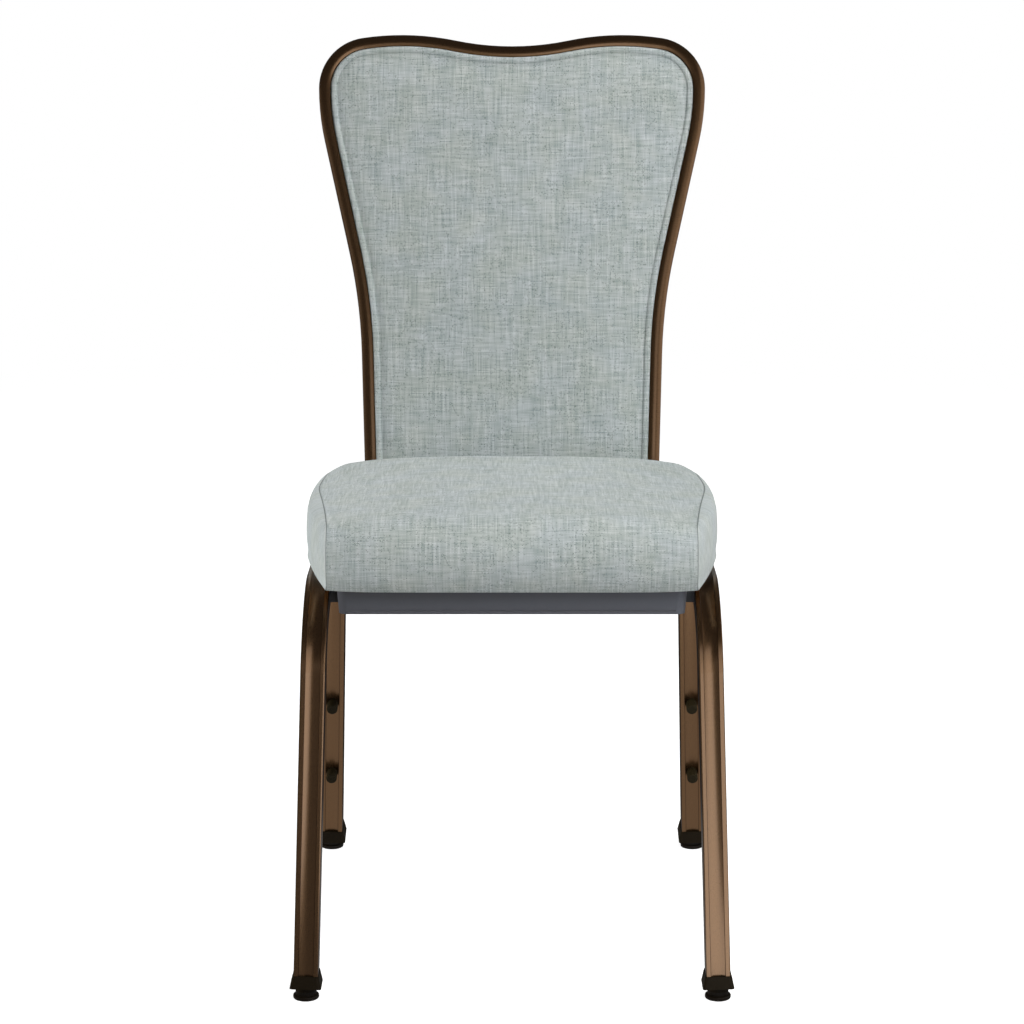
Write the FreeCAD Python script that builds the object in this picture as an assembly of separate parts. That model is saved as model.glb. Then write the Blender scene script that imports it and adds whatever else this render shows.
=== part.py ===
import FreeCAD, Part
import math
import os

from FreeCAD import Placement, Rotation, Vector

# Banquet chair: two bent side frames, an upholstered seat and a loop back on sprung flex bars.
# Millimetres, +Z up, front towards -Y, right towards +X, origin on the floor below the middle
# of the chair. Sizes along Y are measured from the middle of the four feet.

# Overall placing
depth_middle = 11.0        # middle of the overall depth, behind the middle of the feet
fit_gap = 0.3              # between pieces that seat on each other
slide_gap = 0.1            # around screws, studs and plugs in their holes
cut_margin = 1.0           # by which a cutting shape passes the face that it cuts

# Side frames
foot_spread_x = 404.0      # between left and right leg centre lines at the floor
foot_spread_y = 468.0      # between front and rear leg centre lines at the floor
frame_lean = 1.95          # degrees, each frame leans in towards the seat
front_rake = 2.0           # degrees, foot forward of the rail
rear_rake = 13.5           # degrees, foot behind the rail
rail_height = 387.7        # rail centre line above the middle of the feet
seat_slope = 2.1           # degrees, rail and seat fall to the rear
bend_radius = 66.0         # centre line of the front and rear bend
tube_width = 24.0
tube_depth = 28.0
land_width = 4.6           # flat land along each edge of the outer and inner face
land_corner = 1.6
flute_lip = 0.5            # width of the slanted step from land to flute
flute_depth = 2.6          # middle of the flute below the lands
flute_sag = 1.6            # of the flute's arc
tube_wall = 2.5

# Boots and glides
leg_end_height = 26.0      # leg axis above the floor where the tube is cut
boot_base_height = 13.8    # leg axis above the floor at the boot's lower edge
glide_seat_height = 8.5    # level underside of the boot, on which the glide turns
boot_top_width = 25.5
boot_top_depth = 29.5
boot_base_width = 31.0
boot_base_depth = 35.0
boot_corner = 3.0
plug_length = 24.0
glide_disc_diameter = 25.5
glide_disc_height = 4.4
glide_edge = 1.6
glide_neck_diameter = 20.6
stem_diameter = 8.0
stem_length = 8.0
swivel_gap = 0.05

# Stacking bumpers on the front of the rear legs
bumper_heights = {"upper": 185.0, "lower": 100.0}
bumper_diameter = 11.7
bumper_length = 16.5
bumper_edge = 2.0
bumper_stud_diameter = 6.0
bumper_stud_length = 7.0

# Cross tubes between the rails, in the seat plane
cross_tube_places = {"front": -170.0, "middle": 10.0, "rear": 95.0}
cross_tube_height = 16.0
cross_tube_depth = 24.0
cross_tube_wall = 2.0

# Seat brackets, board and screws
bracket_places = (-125.0, 52.0)
bracket_reach = 28.0
bracket_width = 30.0
bracket_thickness = 3.0
bracket_screw_inset = 15.0
board_bearing = 5.5        # on top of each rail
board_front = -236.0
board_thickness = 10.0
board_corner = 42.0
seat_screw_diameter = 4.5
seat_screw_bite = 8.0
screw_head_diameter = 9.0
screw_head_height = 2.6

# Seat cushion
cushion_side_overhang = 26.0
cushion_front_overhang = 25.2
cushion_back_gap = 6.0     # from the cushion's heel to the front of the back
cushion_wrap = 8.0         # of the underside behind the board
cushion_widest_y = -57.0
cushion_height = 73.0      # over its flat underside
cushion_waist_height = 44.0
cushion_front_tuck = 17.0  # underside drawn in behind the nose
cushion_rear_tuck = 15.0
cushion_nose_height = 29.0
cushion_front_round = 46.0
cushion_rear_round = 22.0
cushion_front_drop = 4.0   # crown over the front edge of the top
cushion_rear_drop = 1.0
cushion_side_panel = 30.8  # from the widest point in to the seam of the side panel
cushion_bow = 0.01         # by which front and rear draw in at the seams, as a share
chin_fullness = 0.16       # rise of an outline's arc as a share of its chord
nose_fullness = 0.19
shoulder_fullness = 0.19
heel_fullness = 0.06
bow_power = 4.0            # squareness of front and rear between the seams, seen from above
front_side_power = 1.55    # squareness of a side panel's front part, seen from above
rear_side_power = 3.0
crown_power = 3.5          # squareness of the cushion's top seen from the front
tuck_power = 7.5           # squareness of its underside seen from the front
middle_stations = (0.4, 0.7, 0.9, 1.0)
side_stations = (0.0, 0.25, 0.5, 0.75, 0.9, 0.97, 0.995)

# Seat pan
pan_setback = 10.0         # behind the front edge of the board
pan_rear_setback = 2.0
pan_rail_gap = 8.5
pan_draft = 2.0            # by which each side is narrower at the base
pan_corner = 9.0
pan_wall = 2.2
pan_lip = 2.0
pan_front_wall_depth = 12.0
pan_screw_diameter = 4.0
pan_screw_bite = 5.0

# Back loop, measured in the plane of the back from its foot point at seat level
back_foot_y = 171.7
back_foot_z = 79.6         # above the rails' centre line
back_lean = 13.0           # degrees
loop_width = 12.0
loop_depth = 24.0
loop_outer_height = 7.5    # edge of the outer face over the middle plane of the back
loop_inner_height = 11.0
loop_top_offset = -1.8     # of the crest of its front, outward from the middle of its width
loop_slot_depth = 4.0
loop_dip_height = 430.2    # outer edge of the top rail at its dip
dip_radius = 297.0
dip_turn = 11.7            # degrees, from the dip to where the lobe begins
lobe_radius = 284.0
lobe_fall = 8.6            # degrees, slope of the lobe where the shoulder begins
shoulder_radius = 54.5
side_radius = 260.0
flare_angle = 12.5         # degrees, of the straight run down to the waist
flare_length = 122.0
waist_radius = 574.0
upright_lean = 1.56        # degrees, of the run below the waist
loop_bottom = -45.0

# Back board, pad and cover
back_board_thickness = 9.0
panel_bottom = -38.0
pad_crown_height = 17.0    # pad front over the middle plane of the back
pad_crown_radius = 3400.0
pad_edge_height = 9.0
pad_edge_slope = 5.5
pad_border = 6.0           # from the pad's edge to the sewn channel round it
pad_channel_width = 2.2
pad_channel_depth = 1.5
cover_crown_height = 14.5
cover_crown_radius = 6000.0

# Flex bars
bar_thickness = 6.0
bar_width = 40.0
bar_offset_x = 110.0
bar_front = -14.0
bar_top = 85.0
bar_bend_radius = 36.0     # middle of the bar's thickness
flex_bolt_diameter = 8.0
flex_bolt_head = 15.0
flex_bolt_head_height = 4.0
nut_across_flats = 13.0
nut_height = 6.5
back_screw_places = (8.0, 62.0)
back_screw_diameter = 6.0
back_screw_head = 12.0
back_screw_head_height = 3.2

# Worked-out values
sides = {"left": -1, "right": 1}
upward = Vector(0, 0, 1)
flute_floor = tube_depth / 2 - flute_depth
seat_level = tube_depth / 2 + fit_gap
tube_top = cross_tube_height / 2
board_front_face = back_board_thickness / 2
bar_rear_offset = board_front_face + slide_gap + bar_thickness / 2
cushion_front = board_front - cushion_front_overhang
pan_front = board_front + pan_setback


def move_to_origin(shape):
    shape.translate(Vector(0, -depth_middle, 0))
    return shape


def seat_placement():
    return Placement(Vector(0, 0, rail_height), Rotation(Vector(1, 0, 0), -seat_slope))


def back_placement():
    foot = Vector(0, back_foot_y, rail_height + back_foot_z)
    return Placement(foot, Rotation(Vector(1, 0, 0), 90 - back_lean))


def side_placement(side):
    return Placement(Vector(side * foot_spread_x / 2, 0, 0), Rotation(Vector(0, 1, 0), -side * frame_lean))


def placed(shape, placement):
    return shape.transformed(placement.toMatrix(), True)


def arc(start, middle, end):
    return Part.Arc(start, middle, end).toShape()


def line(start, end):
    return Part.LineSegment(start, end).toShape()


def face_of(edges):
    return Part.Face(Part.Wire(edges))


def cylinder(diameter, base, axis, length):
    return Part.makeCylinder(diameter / 2, length, base, axis)


def meeting_point(first, first_way, second, second_way):
    # where two lines of one Y-Z plane cross
    across = first_way.y * second_way.z - first_way.z * second_way.y
    gap = second - first
    along = (gap.y * second_way.z - gap.z * second_way.y) / across
    return first + first_way * along


def rounded_path(points, radius):
    # straight runs joined by tangent arcs of one radius
    edges = []
    start = points[0]
    for before, corner, after in zip(points, points[1:], points[2:]):
        back_way = (before - corner).normalize()
        on_way = (after - corner).normalize()
        half_angle = back_way.getAngle(on_way) / 2
        reach = radius / math.tan(half_angle)
        bisector = (back_way + on_way).normalize()
        middle = corner + bisector * (radius / math.sin(half_angle) - radius)
        edges.append(line(start, corner + back_way * reach))
        edges.append(arc(corner + back_way * reach, middle, corner + on_way * reach))
        start = corner + on_way * reach
    edges.append(line(start, points[-1]))
    return Part.Wire(edges)


def rounded_rectangle(half_width, front, rear, radius, height):
    diagonal = radius * (1 - math.sqrt(0.5))
    corners = [(half_width, front, -1, 1), (half_width, rear, -1, -1),
               (-half_width, rear, 1, -1), (-half_width, front, 1, 1)]
    edges = []
    ends = []
    for index, (x, y, in_x, in_y) in enumerate(corners):
        on_side = Vector(x, y + in_y * radius, height)
        on_end = Vector(x + in_x * radius, y, height)
        middle = Vector(x + in_x * diagonal, y + in_y * diagonal, height)
        first, last = (on_end, on_side) if index % 2 == 0 else (on_side, on_end)
        ends.append((first, last))
        edges.append(arc(first, middle, last))
    joined = []
    for index, edge in enumerate(edges):
        joined.append(edge)
        joined.append(line(ends[index][1], ends[(index + 1) % len(ends)][0]))
    return Part.Wire(joined)


def screw(diameter, length, head_diameter, head_height, base, axis):
    # low domed head under its base point, shank along the axis
    shank = cylinder(diameter, base, axis, length)
    ball_radius = (head_diameter ** 2 / 4 + head_height ** 2) / (2 * head_height)
    ball = Part.makeSphere(ball_radius, base - axis * head_height + axis * ball_radius)
    block = cylinder(head_diameter, base - axis * head_height, axis, head_height)
    return shank.fuse(block.common(ball)).removeSplitter()


def countersunk(diameter, length, head_diameter, head_height, top, axis):
    head = Part.makeCone(head_diameter / 2, diameter / 2, head_height, top, axis)
    return head.fuse(cylinder(diameter, top, axis, length)).removeSplitter()


# Side frames

def leg_line(front):
    # foot point and upward direction of a leg's centre line in the plane of its frame
    rake = math.radians(front_rake if front else -rear_rake)
    foot = Vector(0, (-1 if front else 1) * foot_spread_y / 2, 0)
    return foot, Vector(0, math.sin(rake), math.cos(rake))


def leg_point(front, height):
    foot, way = leg_line(front)
    return foot + way * (height / way.z)


def frame_path():
    rail_way = Vector(0, math.cos(math.radians(seat_slope)), -math.sin(math.radians(seat_slope)))
    rail_point = Vector(0, 0, rail_height)
    corners = [meeting_point(*leg_line(front), rail_point, rail_way) for front in (True, False)]
    ends = [leg_point(front, leg_end_height) for front in (True, False)]
    return rounded_path([ends[0], *corners, ends[1]], bend_radius)


def fluted_edges(start, outward):
    # flat lands beside a concave flute, on the faces that look out of and into the bend
    across = Vector(1, 0, 0)

    def at(a, b):
        return start + across * a + outward * b

    half = tube_width / 2
    crest = tube_depth / 2
    shoulder = crest - land_corner
    corner_end = half - land_corner
    inset = land_corner * (1 - math.sqrt(0.5))
    land_end = half - land_width
    flute_end = land_end - flute_lip
    flute_edge = flute_floor + flute_sag
    edges = []
    for way in (1, -1):
        edges.append(line(at(way * half, -way * shoulder), at(way * half, way * shoulder)))
        edges.append(arc(at(way * half, way * shoulder), at(way * (half - inset), way * (crest - inset)),
                         at(way * corner_end, way * crest)))
        edges.append(line(at(way * corner_end, way * crest), at(way * land_end, way * crest)))
        edges.append(line(at(way * land_end, way * crest), at(way * flute_end, way * flute_edge)))
        edges.append(arc(at(way * flute_end, way * flute_edge), at(0, way * flute_floor),
                         at(-way * flute_end, way * flute_edge)))
        edges.append(line(at(-way * flute_end, way * flute_edge), at(-way * land_end, way * crest)))
        edges.append(line(at(-way * land_end, way * crest), at(-way * corner_end, way * crest)))
        edges.append(arc(at(-way * corner_end, way * crest), at(-way * (half - inset), way * (crest - inset)),
                         at(-way * half, way * shoulder)))
    return edges


def hollow_half_sizes():
    return tube_width / 2 - tube_wall, flute_floor - tube_wall


def hollow_edges(start, outward, gap):
    half_x, half_out = hollow_half_sizes()
    across = Vector(1, 0, 0)
    corners = [start + across * (a * (half_x - gap)) + outward * (b * (half_out - gap))
               for a, b in ((1, 1), (-1, 1), (-1, -1), (1, -1))]
    return [line(corners[i], corners[(i + 1) % 4]) for i in range(4)]


def outward_of(front):
    way = leg_line(front)[1]
    return Vector(0, -way.z, way.y) if front else Vector(0, way.z, -way.y)


def bumper_seat(height):
    # middle of a bumper's seat in the flute of the rear leg's front face
    return leg_point(False, height) - outward_of(False) * flute_floor


def frame_bar():
    # the bent extrusion without its hollow
    return frame_path().makePipe(face_of(fluted_edges(leg_point(True, leg_end_height), outward_of(True))))


def side_frame(side):
    hollow = face_of(hollow_edges(leg_point(True, leg_end_height), outward_of(True), 0))
    frame = frame_bar().cut(frame_path().makePipe(hollow))
    for height in bumper_heights.values():
        mouth = bumper_seat(height) - outward_of(False) * cut_margin
        frame = frame.cut(cylinder(bumper_stud_diameter + 2 * slide_gap, mouth, outward_of(False),
                                   bumper_stud_length + 2 * cut_margin))
    return placed(frame, side_placement(side))


def bumper(side, height):
    # round rubber buffer, saddled to the flute, with its stud pressed into the leg
    seat = bumper_seat(height)
    out = outward_of(False) * -1
    body = cylinder(bumper_diameter, seat, out, bumper_length)
    rim = [edge for edge in body.Edges
           if edge.Closed and (edge.CenterOfMass - seat).Length > bumper_length / 2]
    body = body.makeFillet(bumper_edge, rim).cut(frame_bar())
    root = seat + out * bumper_edge
    stud = cylinder(bumper_stud_diameter, root, out * -1, bumper_edge + bumper_stud_length)
    return placed(body.fuse(stud).removeSplitter(), side_placement(side))


# Boots and glides

def foot_centre(side, front):
    return side_placement(side).multVec(leg_point(front, glide_seat_height))


def boot_ring(centre, width_way, depth_way, width, depth):
    ring = rounded_rectangle(width / 2, -depth / 2, depth / 2, boot_corner, 0)
    up = width_way.cross(depth_way)
    return placed(ring, Placement(centre, Rotation(width_way, depth_way, up, "ZXY")))


def boot(side, front):
    # flared sleeve square to the leg, with a plug up into the tube and a level seat for the glide
    turn = side_placement(side)
    across = turn.Rotation.multVec(Vector(1, 0, 0))
    back_way = turn.Rotation.multVec(leg_line(front)[1]).cross(across)
    base = turn.multVec(leg_point(front, boot_base_height))
    top = turn.multVec(leg_point(front, leg_end_height))
    shell = Part.makeLoft([
        boot_ring(base, across, back_way, boot_base_width, boot_base_depth),
        boot_ring(top, across, back_way, boot_top_width, boot_top_depth),
    ], True, True)
    start = leg_point(front, leg_end_height)
    plug = face_of(hollow_edges(start, outward_of(front), slide_gap))
    plug = plug.extrude(leg_line(front)[1] * plug_length)
    centre = foot_centre(side, front)
    seat = Vector(centre.x, centre.y, glide_seat_height)
    seat_top = (boot_base_height + leg_end_height) / 2
    neck = cylinder(glide_neck_diameter, seat, upward, seat_top - glide_seat_height)
    body = shell.fuse(placed(plug, turn)).fuse(neck).removeSplitter()
    return body.cut(cylinder(stem_diameter + 2 * swivel_gap, seat, upward, stem_length + fit_gap))


def glide(side, front):
    # stem, neck and rounded disc turned about the stem's axis
    centre = foot_centre(side, front)
    disc = glide_disc_diameter / 2
    neck_top = glide_seat_height - swivel_gap
    inner = glide_edge * (1 - math.sqrt(0.5))
    rim = Vector(disc - glide_edge, 0, 0)
    edges = [line(Vector(0, 0, 0), rim)]
    edges.append(arc(rim, Vector(disc - inner, 0, inner), Vector(disc, 0, glide_edge)))
    upper = glide_disc_height - glide_edge
    edges.append(line(Vector(disc, 0, glide_edge), Vector(disc, 0, upper)))
    edges.append(arc(Vector(disc, 0, upper), Vector(disc - inner, 0, glide_disc_height - inner),
                     Vector(disc - glide_edge, 0, glide_disc_height)))
    stem_top = glide_seat_height + stem_length
    outline = [(disc - glide_edge, glide_disc_height), (glide_neck_diameter / 2, glide_disc_height),
               (glide_neck_diameter / 2, neck_top), (stem_diameter / 2, neck_top),
               (stem_diameter / 2, stem_top), (0, stem_top), (0, 0)]
    points = [Vector(x, 0, z) for x, z in outline]
    edges += [line(first, second) for first, second in zip(points, points[1:])]
    body = face_of(edges).revolve(Vector(0, 0, 0), Vector(0, 0, 1), 360)
    body.translate(Vector(centre.x, centre.y, 0))
    return body


# Under the seat, in the seat plane with its zero on the rails' centre line

def outside_rails(side):
    # everything from a rail's inner face outwards
    reach = foot_spread_x
    block = Part.makeBox(reach, 2 * foot_spread_y, 2 * rail_height,
                         Vector(-tube_width / 2 if side > 0 else tube_width / 2 - reach, -foot_spread_y, 0))
    return placed(block, side_placement(side))


def between_rails(shape):
    body = placed(shape, seat_placement())
    for side in sides.values():
        body = body.cut(outside_rails(side))
    return body


def flex_bolt_points():
    return [Vector(side * bar_offset_x, cross_tube_places[place], tube_top + bar_thickness)
            for side in sides.values() for place in ("middle", "rear")]


def pan_screw_points():
    level = -tube_top - fit_gap - pan_wall
    return [Vector(side * bar_offset_x / 2, cross_tube_places[place], level)
            for side in sides.values() for place in ("front", "rear")]


def cross_tube(place):
    y = cross_tube_places[place] - cross_tube_depth / 2
    reach = foot_spread_x / 2
    outer = Part.makeBox(2 * reach, cross_tube_depth, cross_tube_height, Vector(-reach, y, -tube_top))
    hollow = Part.makeBox(2 * reach, cross_tube_depth - 2 * cross_tube_wall,
                          cross_tube_height - 2 * cross_tube_wall,
                          Vector(-reach, y + cross_tube_wall, -tube_top + cross_tube_wall))
    tube = outer.cut(hollow)
    for point in flex_bolt_points():
        middle = Vector(point.x, point.y, 0)
        tube = tube.cut(cylinder(flex_bolt_diameter + 2 * slide_gap, middle, upward, tube_top))
    for point in pan_screw_points():
        mouth = Vector(point.x, point.y, -tube_top)
        tube = tube.cut(cylinder(pan_screw_diameter + 2 * slide_gap, mouth, upward, tube_top))
    return between_rails(tube)


def rail_inner_x(y):
    # inner face of the right rail at the seat level, in the seat plane
    turn = side_placement(1)
    level = seat_placement().multVec(Vector(0, y, seat_level)).z
    return turn.multVec(Vector(-tube_width / 2, 0, level)).x


def board_half_width():
    return rail_inner_x(0) + board_bearing


def cushion_half_width():
    return board_half_width() + cushion_side_overhang


def cushion_rear():
    # heel of the cushion, clear of the front of the back at the heel's height
    turn = seat_placement()
    lean = back_placement()
    pad_point = lean.multVec(Vector(0, 0, pad_crown_height))
    pad_way = lean.Rotation.multVec(Vector(0, 1, 0))
    heel = turn.multVec(Vector(0, 0, seat_level + cushion_waist_height))
    meeting = meeting_point(heel, turn.Rotation.multVec(Vector(0, 1, 0)), pad_point, pad_way)
    return (meeting - heel).Length - cushion_back_gap


def board_rear():
    return cushion_rear() - cushion_rear_tuck - cushion_wrap


def pan_half_width():
    return rail_inner_x(0) - pan_rail_gap


def bracket_screw_points():
    level = seat_level - fit_gap - bracket_thickness
    return [Vector(side * (rail_inner_x(y) - bracket_screw_inset), y, level)
            for side in sides.values() for y in bracket_places]


def seat_brackets():
    tabs = []
    for point in bracket_screw_points():
        side = math.copysign(1, point.x)
        inner = side * (rail_inner_x(point.y) - bracket_reach)
        outer = side * foot_spread_x / 2
        tab = Part.makeBox(abs(outer - inner), bracket_width, bracket_thickness,
                           Vector(min(inner, outer), point.y - bracket_width / 2, point.z))
        tab = tab.cut(cylinder(seat_screw_diameter + 2 * slide_gap, point, upward, bracket_thickness))
        tabs.append(between_rails(tab))
    return Part.makeCompound(tabs)


def seat_screws():
    length = bracket_thickness + fit_gap + seat_screw_bite
    return Part.makeCompound([
        placed(screw(seat_screw_diameter, length, screw_head_diameter, screw_head_height, point, upward),
               seat_placement()) for point in bracket_screw_points()])


def board_block():
    outline = rounded_rectangle(board_half_width(), board_front, board_rear(), board_corner, seat_level)
    return Part.Face(outline).extrude(Vector(0, 0, board_thickness))


def seat_board():
    board = board_block()
    for point in bracket_screw_points():
        mouth = Vector(point.x, point.y, seat_level)
        depth = seat_screw_bite + slide_gap
        board = board.cut(cylinder(seat_screw_diameter + 2 * slide_gap, mouth, upward, depth))
    return placed(board, seat_placement())


def bulge(start, end, share):
    # arc over a chord of a section in the Y-Z plane, standing off it by a share of its length
    chord = end - start
    return arc(start, (start + end) * 0.5 + Vector(0, -chord.z, chord.y) * share, end)


def rounded_share(along, power):
    return (1 - along ** power) ** (1 / power)


def plan_share(x, side_power):
    # reach of the front or rear outline at one place across, as a share of its reach in the middle
    seam = cushion_half_width() - cushion_side_panel
    if abs(x) <= seam:
        return 1 - cushion_bow * (abs(x) / seam) ** bow_power
    return (1 - cushion_bow) * ((cushion_half_width() - abs(x)) / cushion_side_panel) ** (1 / side_power)


def cushion_section(x):
    # side outline of the cushion at one place across the seat
    along = abs(x) / cushion_half_width()
    front = cushion_widest_y + (cushion_front - cushion_widest_y) * plan_share(x, front_side_power)
    rear = cushion_widest_y + (cushion_rear() - cushion_widest_y) * plan_share(x, rear_side_power)
    top = cushion_waist_height + (cushion_height - cushion_waist_height) * rounded_share(along, crown_power)
    base = cushion_waist_height * (1 - rounded_share(along, tuck_power))
    share = (top - base) / cushion_height

    def at(y, z):
        return Vector(x, y, seat_level + z)

    base_front = at(front + cushion_front_tuck * share, base)
    nose = at(front, base + cushion_nose_height * share)
    top_front = at(front + cushion_front_round * share, top - cushion_front_drop * share)
    top_rear = at(rear - cushion_rear_round * share, top - cushion_rear_drop * share)
    heel = at(rear, base + cushion_waist_height * share)
    base_rear = at(rear - cushion_rear_tuck * share, base)
    crown = Vector(x, (top_front.y + top_rear.y) / 2, seat_level + top)
    return Part.Wire([
        line(base_rear, base_front), bulge(base_front, nose, chin_fullness),
        bulge(nose, top_front, nose_fullness), arc(top_front, crown, top_rear),
        bulge(top_rear, heel, shoulder_fullness), bulge(heel, base_rear, heel_fullness),
    ])


def seat_cushion():
    # main panel between the seams, and a side panel beyond each
    seam = cushion_half_width() - cushion_side_panel
    stations = [-share for share in reversed(middle_stations)] + [0.0] + list(middle_stations)
    body = Part.makeLoft([cushion_section(share * seam) for share in stations], True, False)
    for side in sides.values():
        panel = [cushion_section(side * (seam + share * cushion_side_panel)) for share in side_stations]
        body = body.fuse(Part.makeLoft(panel, True, False))
    return placed(body.cut(board_block()), seat_placement())


def seat_pan():
    # drafted tray with a rolled front lip, cut down where tubes and flex bars pass
    base_level = -tube_top - fit_gap - pan_wall
    depth = seat_level - fit_gap - base_level

    base_half_width = pan_half_width() - pan_draft
    rear = board_rear() - pan_rear_setback

    def ring(inset, height):
        slant = pan_draft * (height - base_level) / depth
        return rounded_rectangle(base_half_width + slant - inset, pan_front + inset, rear - inset,
                                 pan_corner - inset, height)

    top_level = base_level + depth
    shell = Part.makeLoft([ring(0, base_level), ring(0, top_level)], True, True)
    room = Part.makeLoft([ring(pan_wall, base_level + pan_wall), ring(pan_wall, top_level)], True, True)
    pan = shell.cut(room)
    side_level = seat_level - fit_gap - bracket_thickness - screw_head_height - fit_gap
    wide = 2 * pan_half_width()
    pan = pan.cut(Part.makeBox(2 * wide, 2 * wide, depth,
                               Vector(-wide, pan_front + pan_front_wall_depth, side_level - fit_gap)))
    for y in cross_tube_places.values():
        pan = pan.cut(Part.makeBox(2 * wide, cross_tube_depth + 2 * fit_gap, depth,
                                   Vector(-wide, y - cross_tube_depth / 2 - fit_gap, -tube_top - fit_gap)))
    lip_half = base_half_width - pan_corner
    lip_end = Vector(-lip_half, pan_front + pan_lip / 2, base_level + pan_lip)
    lip = Part.makeCylinder(pan_lip, 2 * lip_half, lip_end, Vector(1, 0, 0))
    pan = pan.fuse(lip).removeSplitter()
    for point in pan_screw_points():
        pan = pan.cut(cylinder(pan_screw_diameter + 2 * slide_gap, point, upward, pan_wall))
    return placed(pan, seat_placement())


def pan_screws():
    length = pan_wall + fit_gap + cross_tube_wall + pan_screw_bite
    return Part.makeCompound([
        placed(screw(pan_screw_diameter, length, screw_head_diameter, screw_head_height, point, upward),
               seat_placement()) for point in pan_screw_points()])


# Flex bars

def bar_lines():
    turn = seat_placement()
    low_point = turn.multVec(Vector(0, 0, tube_top + bar_thickness / 2))
    low_way = turn.Rotation.multVec(Vector(0, 1, 0))
    lean = back_placement()
    high_point = lean.multVec(Vector(0, 0, -bar_rear_offset))
    high_way = lean.Rotation.multVec(Vector(0, 1, 0))
    return low_point, low_way, high_point, high_way


def bar_path():
    low_point, low_way, high_point, high_way = bar_lines()
    corner = meeting_point(low_point, low_way, high_point, high_way)
    ends = [low_point + low_way * bar_front, high_point + high_way * bar_top]
    return rounded_path([ends[0], corner, ends[1]], bar_bend_radius)


def flex_axis():
    # centre of the bend, about which the back tips
    bend = [edge for edge in bar_path().Edges if hasattr(edge.Curve, "Radius")][0]
    return bend.Curve.Center


def flex_bar(side):
    low_point, low_way = bar_lines()[:2]
    start = low_point + low_way * bar_front
    across = Vector(bar_width / 2, 0, 0)
    up = Vector(0, -low_way.z, low_way.y) * (bar_thickness / 2)
    corners = [start + across + up, start - across + up, start - across - up, start + across - up]
    section = face_of([line(corners[i], corners[(i + 1) % 4]) for i in range(4)])
    bar = bar_path().makePipe(section)
    bar.translate(Vector(side * bar_offset_x, 0, 0))
    for tool in flex_bolt_tools(slide_gap) + back_screw_tools(slide_gap):
        bar = bar.cut(tool)
    return bar


def flex_bolt_tools(gap):
    length = bar_thickness + cross_tube_wall + nut_height
    return [placed(countersunk(flex_bolt_diameter + 2 * gap, length, flex_bolt_head + 2 * gap,
                               flex_bolt_head_height, point, upward * -1), seat_placement())
            for point in flex_bolt_points()]


def flex_nuts():
    nuts = []
    corner = nut_across_flats / math.sqrt(3)
    top = tube_top - cross_tube_wall
    for point in flex_bolt_points():
        ring = [Vector(point.x + corner * math.cos(math.radians(60 * i)),
                       point.y + corner * math.sin(math.radians(60 * i)), top) for i in range(6)]
        hexagon = face_of([line(ring[i], ring[(i + 1) % 6]) for i in range(6)])
        nut = hexagon.extrude(Vector(0, 0, -nut_height))
        mouth = Vector(point.x, point.y, top)
        nut = nut.cut(cylinder(flex_bolt_diameter + 2 * slide_gap, mouth, upward * -1, nut_height))
        nuts.append(placed(nut, seat_placement()))
    return Part.makeCompound(nuts)


# Back, in its own plane: X across, Y up the back, Z out of its front

def walk(start, heading, steps):
    # tangent runs and arcs: a step is a length, or a radius with a turn to the left in degrees
    edges = []
    for size, turn in steps:
        way = Vector(math.cos(math.radians(heading)), math.sin(math.radians(heading)), 0)
        if turn == 0:
            end = start + way * size
            edges.append(line(start, end))
        else:
            left = Vector(-way.y, way.x, 0) * math.copysign(1, turn)
            centre = start + left * size
            half = Rotation(Vector(0, 0, 1), turn / 2)
            middle = centre + half.multVec(start - centre)
            end = centre + half.multVec(middle - centre)
            edges.append(arc(start, middle, end))
        start = end
        heading += turn
    return edges


def half_loop(inset, bottom):
    # steps from the dip of the top rail down the right side, set in from the loop's outer edge
    steps = [(dip_radius + inset, dip_turn), (lobe_radius - inset, -dip_turn - lobe_fall),
             (shoulder_radius - inset, lobe_fall - 90), (side_radius - inset, -flare_angle),
             (flare_length, 0), (waist_radius + inset, flare_angle - upright_lean)]
    end = walk(Vector(0, loop_dip_height - inset, 0), 0, steps)[-1].Vertexes[-1].Point
    run = (end.y - bottom) / math.cos(math.radians(upright_lean))
    steps.append((run, 0))
    return steps, Vector(end.x - run * math.sin(math.radians(upright_lean)), bottom, 0)


def loop_edges(inset, bottom):
    steps, end = half_loop(inset, bottom)
    return walk(Vector(-end.x, bottom, 0), 90 + upright_lean, list(reversed(steps)) + steps)


def panel_ring(inset, height):
    edges = loop_edges(inset, panel_bottom)
    edges.append(line(edges[-1].Vertexes[-1].Point, edges[0].Vertexes[0].Point))
    ring = Part.Wire(edges)
    ring.translate(Vector(0, 0, height))
    return ring


def back_frame():
    # slotted extrusion with a rounded front and rear that fall away to its outer face
    path = Part.Wire(loop_edges(loop_width / 2, loop_bottom))
    start = path.Vertexes[0].Point
    lean = math.radians(upright_lean)
    outward = Vector(-math.cos(lean), -math.sin(lean), 0)

    def at(a, b):
        return start + outward * a + Vector(0, 0, b)

    half = loop_width / 2
    slot = half - loop_slot_depth
    slot_half = board_front_face + slide_gap
    top = loop_depth / 2
    edges = [line(at(half, -loop_outer_height), at(half, loop_outer_height))]
    edges.append(arc(at(half, loop_outer_height), at(loop_top_offset, top), at(-half, loop_inner_height)))
    turns = [(-half, loop_inner_height), (-half, slot_half), (-slot, slot_half), (-slot, -slot_half),
             (-half, -slot_half), (-half, -loop_inner_height)]
    edges += [line(at(*first), at(*second)) for first, second in zip(turns, turns[1:])]
    edges.append(arc(at(-half, -loop_inner_height), at(loop_top_offset, -top), at(half, -loop_outer_height)))
    return placed(path.makePipe(face_of(edges)), back_placement())


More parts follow.
